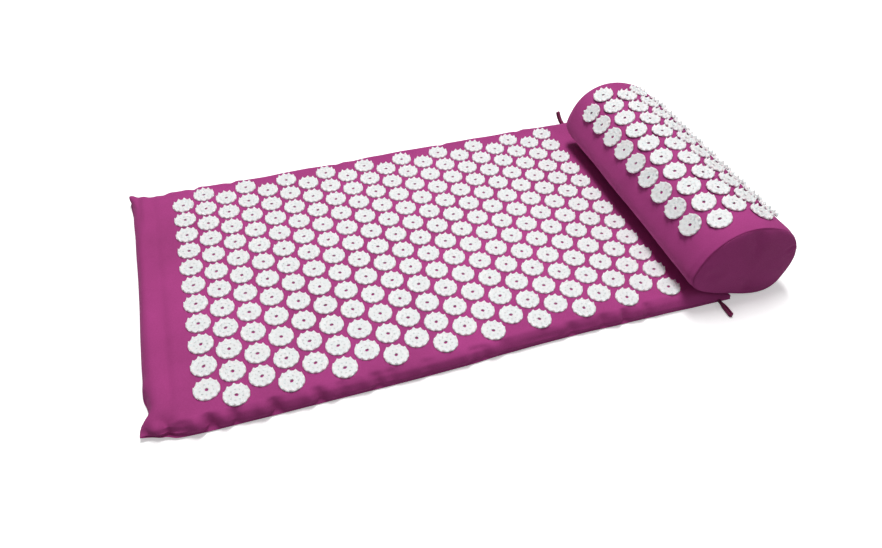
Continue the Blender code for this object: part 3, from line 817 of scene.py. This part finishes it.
def ringLoft(bm, stations):
    # a circle drawn through rings of the pillow's section; stations are (y, scale)
    count = len(ring)
    made = bmesh.ops.create_circle(bm, segments=count, radius=1.0)["verts"]
    layers = [made]
    edges = inOrder(edge for vert in made for edge in vert.link_edges)
    for _ in stations[1:]:
        grown = bmesh.ops.extrude_edge_only(bm, edges=edges)["geom"]
        fresh = set(onlyVerts(grown))
        follow = {}
        for vert in fresh:
            for edge in vert.link_edges:
                source = edge.other_vert(vert)
                if source not in fresh:
                    follow[source] = vert
        layers.append([follow[vert] for vert in layers[-1]])
        edges = [e for e in onlyEdges(grown) if all(v in fresh for v in e.verts)]
    for layer, (y, scale) in zip(layers, stations):
        for index, vert in enumerate(layer):
            vert.co = pillowPoint(index, y, scale)
    return layers


def buildTube():
    # the pillow's tube of cloth, with closed ends
    form = pillowForm
    half, steps = form["length"] / 2, form["along"]
    stations = []
    for k in range(steps + 1):
        share = crowd(k / steps, form["crowding"])
        stations.append((-half + form["length"] * share, alongCurve(form["draw"], share)))
    first = [(-half + form["lidDepth"], form["seat"] * scale) for scale in reversed(form["lids"])]
    last = [(half - form["lidDepth"], form["seat"] * scale) for scale in form["lids"]]
    bm = bmesh.new()
    layers = ringLoft(bm, first + stations + last)
    bmesh.ops.contextual_create(bm, geom=layers[0])
    bmesh.ops.contextual_create(bm, geom=layers[-1])
    bmesh.ops.recalc_face_normals(bm, faces=bm.faces)
    bm.normal_update()
    slacken(bm)
    clothMap(bm, lambda co, normal: (co.y, math.atan2(co.z - form["middle"], co.x) * form["unroll"]))
    bmesh.ops.transform(bm, matrix=pillowFrame, verts=bm.verts)
    return finishPiece("pillowTube", bm, cotton, "pillow", ("pillow_cover", "pillow_foam_core"))


def slacken(bm, folds=()):
    # soft dents in the cloth, mostly inwards, so that nothing sewn on it sinks in; folds lie across an end
    form = pillowForm
    slack, inwards = form["slack"], form["inwards"]
    bm.normal_update()
    steps = []
    for vert in bm.verts:
        x, z = vert.co.x, vert.co.z
        dent = sum((noise.noise(vert.co * waves) - inwards) * height for waves, height in slack)
        reach = math.hypot(x / form["halfWidth"], (z - form["middle"]) / form["halfHeight"])
        fold = sum(crease(Vector((x, z)), line) for line in folds)
        fold *= 1 - smoothStep(reach, *form["foldsEnd"])
        steps.append((vert, vert.normal * (dent + fold)))
    for vert, step in steps:
        vert.co += step


def restPillow(piece):
    # flat where it lies on the floor
    for vert in piece.data.vertices:
        vert.co.z = max(vert.co.z, pillowForm["floor"])


pillowTube = buildTube()
restPillow(pillowTube)

endForm = dict(
    bulge=0.0062,
    fullness=0.6,  # how soon the panel rises from its rim: less is sooner
    rings=40,
    gap=0.0006,
    hidden=((0.004, 0.9), (0.0005, 0.985)),  # rings inside the tube: (depth, share of the seat)
    spread=(0.006, 0.987),  # share of the seat at the panel's middle, and what the rim has more
    folds=[  # across and up the panel, as on the mat
        ((0.058, 0.050), (0.034, 0.036), 0.0032, 0.0026),
        ((0.066, 0.040), (0.044, 0.032), -0.0030, 0.0020),
        ((-0.062, -0.010), (-0.030, 0.004), 0.0070, 0.0020),
        ((0.030, -0.030), (0.000, -0.004), 0.0100, 0.0028),
        ((-0.020, 0.052), (-0.004, 0.020), 0.0080, 0.0020),
    ],
)


def buildEnd(name, side, node):
    # a domed panel over one end of the tube
    form = endForm
    half, seat = pillowForm["length"] / 2, pillowForm["seat"]
    least, more = form["spread"]
    stations = [(side * (half - depth), seat * share) for depth, share in form["hidden"]]
    for k in range(form["rings"]):
        scale = math.cos(k / form["rings"] * math.pi / 2)
        rise = form["gap"] + form["bulge"] * (1 - scale**2) ** form["fullness"]
        stations.append((side * (half + rise), seat * (least + more * scale)))
    bm = bmesh.new()
    layers = ringLoft(bm, stations)
    bmesh.ops.contextual_create(bm, geom=layers[0])
    bmesh.ops.contextual_create(bm, geom=layers[-1])
    bmesh.ops.recalc_face_normals(bm, faces=bm.faces)
    slacken(bm, form["folds"])
    clothMap(bm, lambda co, normal: (co.x, co.z))
    bmesh.ops.transform(bm, matrix=pillowFrame, verts=bm.verts)
    piece = finishPiece(name, bm, cotton, "pillow", (node,))
    restPillow(piece)


buildEnd("pillowEndNear", -1, "pillow_end_panel_near")
buildEnd("pillowEndFar", 1, "pillow_end_panel_far")
print("pillow made")

# the loops and the zips

loopForm = dict(
    width=0.0046,
    ribbon=0.0013,
    opening=0.0034,
    root=((-0.001, 0.0006), (0.004, 0.0009)),  # (distance along, how far each layer lies off the middle)
    parting=(0.009, 0.85),  # distance along, and the share of the full opening there
    parted=(0.013, 0.017),  # distances along, from where the opening is full
    tip=(1.3, 1.0, 0.7, 0.35, 0.0),  # angles round the folded tip
)

loops = dict(
    loopNear=dict(
        body="near_loop",
        node="mat_loop_near",
        root=(0.328, -0.2085, 0.00355),
        turns=((math.pi, "Z"), (math.pi / 2, "Y")),
        length=0.0262,
        curl=0.05,
    ),
    loopFar=dict(
        body="far_loop",
        node="mat_loop_far",
        root=(0.3275, 0.2102, 0.0045),
        turns=((math.radians(20), "Z"), (math.radians(12), "X")),
        length=0.0315,
        curl=1.1,
    ),
)


def loopPath(length, curl):
    # a folded ribbon seen on edge, which curls up by an angle from its root to its tip
    form = loopForm
    belly = form["opening"] / 2 + form["ribbon"] / 2
    tip = length - belly
    where, share = form["parting"]
    out = [*form["root"], (where, belly * share)]
    out += [(along, belly) for along in form["parted"]]
    out += [((form["parted"][-1] + tip) / 2, belly), (tip, belly)]
    out += [(tip + belly * math.cos(a), belly * math.sin(a)) for a in form["tip"]]
    rate = curl / length
    path = []
    for y, z in out + [(y, -z) for y, z in out[-2::-1]]:
        sine, cosine = math.sin(rate * y), math.cos(rate * y)
        path.append((sine / rate - z * sine, (1 - cosine) / rate + z * cosine))
    return path


def buildLoop(name, spec):
    # draws the ribbon's path out to its width, gives it its thickness and roots it on the mat
    form = loopForm
    place = Matrix.Translation(spec["root"])
    for angle, axis in spec["turns"]:
        place = place @ Matrix.Rotation(angle, 4, axis)
    bm = bmesh.new()
    verts = [bm.verts.new((-form["width"] / 2, y, z)) for y, z in loopPath(spec["length"], spec["curl"])]
    edges = [bm.edges.new(pair) for pair in zip(verts, verts[1:])]
    grown = bmesh.ops.extrude_edge_only(bm, edges=edges)["geom"]
    bmesh.ops.translate(bm, vec=(form["width"], 0, 0), verts=onlyVerts(grown))
    bmesh.ops.recalc_face_normals(bm, faces=bm.faces)
    bmesh.ops.solidify(bm, geom=bm.faces[:], thickness=form["ribbon"])
    bmesh.ops.transform(bm, matrix=place, verts=bm.verts)
    finishPiece(name, bm, ribbon, spec["body"], (spec["node"],))


for name, spec in loops.items():
    buildLoop(name, spec)

# the zips keep their CAD shapes
zipFinishes = dict(tape=tape, coil=nylon, slider=paint, pull=paint)
for owner in ("mat", "pillow"):
    for part, finish in zipFinishes.items():
        materials = nodes[f"{owner}_zip_{part}"].data.materials
        materials.clear()
        materials.append(finish)
print("loops and zips made")

# floor, light and camera

floorLook = dict(
    reach=12.0,
    white=1.0,  # as the camera sees it
    bounce=0.38,  # for light that bounces off it
    glow=0.38,
    farGlow=0.77,
    far=(0.5, 3.0),  # how far from the mat's middle the glow begins and stops growing
)
skyLight = 0.21
lamps = dict(
    keyLamp=dict(place=(0.18, 0.36, 2.3), target=(0.0, 0.0, 0.0), size=(0.50, 1.30), power=47.0),
    fillLamp=dict(place=(1.1, -1.9, 1.0), target=(0.2, -0.1, 0.0), size=(1.2, 1.2), power=3.0),
)
view = dict(
    lens=28.81,
    sensor=36.0,
    nearest=0.01,
    place=(-0.1988, -0.6727, 0.6108),
    turns=(47.152, -0.6716, -18.9563),  # degrees
)


def seenDirectly(finish):
    # 1 for the camera and for rays in glossy or clear surfaces, 0 for light that bounces
    path = [finish.node("LightPath", None, None, k) for k in (0, 3, 6)]
    total = path[0] + path[1] + path[2]
    return finish.node("Clamp", None, {"Value": total})


def buildFloor():
    look = floorLook
    bm = bmesh.new()
    bmesh.ops.create_grid(bm, x_segments=2, y_segments=2, size=look["reach"])
    mesh = bpy.data.meshes.new("floor")
    bm.to_mesh(mesh)
    bm.free()
    floor = bpy.data.objects.new("floor", mesh)
    scene.collection.objects.link(floor)
    finish = Finish("paleFloor", Roughness=1.0, Specular_IOR_Level=0.0)
    seen = seenDirectly(finish)
    bounce, white, glow, farGlow = [(look[key],) * 3 for key in ("bounce", "white", "glow", "farGlow")]
    color = finish.blend(seen, bounce, white)
    away = finish.node("VectorMath", {"operation": "LENGTH"}, {0: finish.place()}, 1)
    shine = finish.blend(finish.spread(away, *look["far"]), glow, farGlow)
    finish.set(Base_Color=color, Emission_Color=finish.blend(seen, (0, 0, 0), shine))
    finish.shader.inputs["Emission Strength"].default_value = 1.0
    mesh.materials.append(finish.material)


def buildSky():
    # white for the camera, and a weaker light for all else
    world = bpy.data.worlds.new("sky")
    scene.world = world
    world.use_nodes = True
    tree = world.node_tree
    background = tree.nodes["Background"]
    path = tree.nodes.new("ShaderNodeLightPath")
    mixed = tree.nodes.new("ShaderNodeMix")
    mixed.inputs[2].default_value = skyLight
    mixed.inputs[3].default_value = 1.0
    tree.links.new(path.outputs["Is Camera Ray"], mixed.inputs[0])
    tree.links.new(mixed.outputs[0], background.inputs["Strength"])
    background.inputs["Color"].default_value = (1, 1, 1, 1)


def addLamp(name, spec):
    lamp = bpy.data.lights.new(name, "AREA")
    lamp.shape = "RECTANGLE"
    lamp.size, lamp.size_y = spec["size"]
    lamp.energy = spec["power"]
    holder = bpy.data.objects.new(name, lamp)
    scene.collection.objects.link(holder)
    holder.location = spec["place"]
    aim = Vector(spec["target"]) - Vector(spec["place"])
    holder.rotation_euler = aim.to_track_quat("-Z", "Y").to_euler()


def buildCamera():
    camera = bpy.data.cameras.new("camera")
    camera.lens = view["lens"]
    camera.sensor_width = view["sensor"]
    camera.clip_start = view["nearest"]
    holder = bpy.data.objects.new("camera", camera)
    scene.collection.objects.link(holder)
    holder.location = view["place"]
    holder.rotation_euler = Euler([math.radians(turn) for turn in view["turns"]])
    scene.camera = holder


buildFloor()
buildSky()
for name, spec in lamps.items():
    addLamp(name, spec)
buildCamera()
scene.view_settings.view_transform = "Standard"
print("studio made")
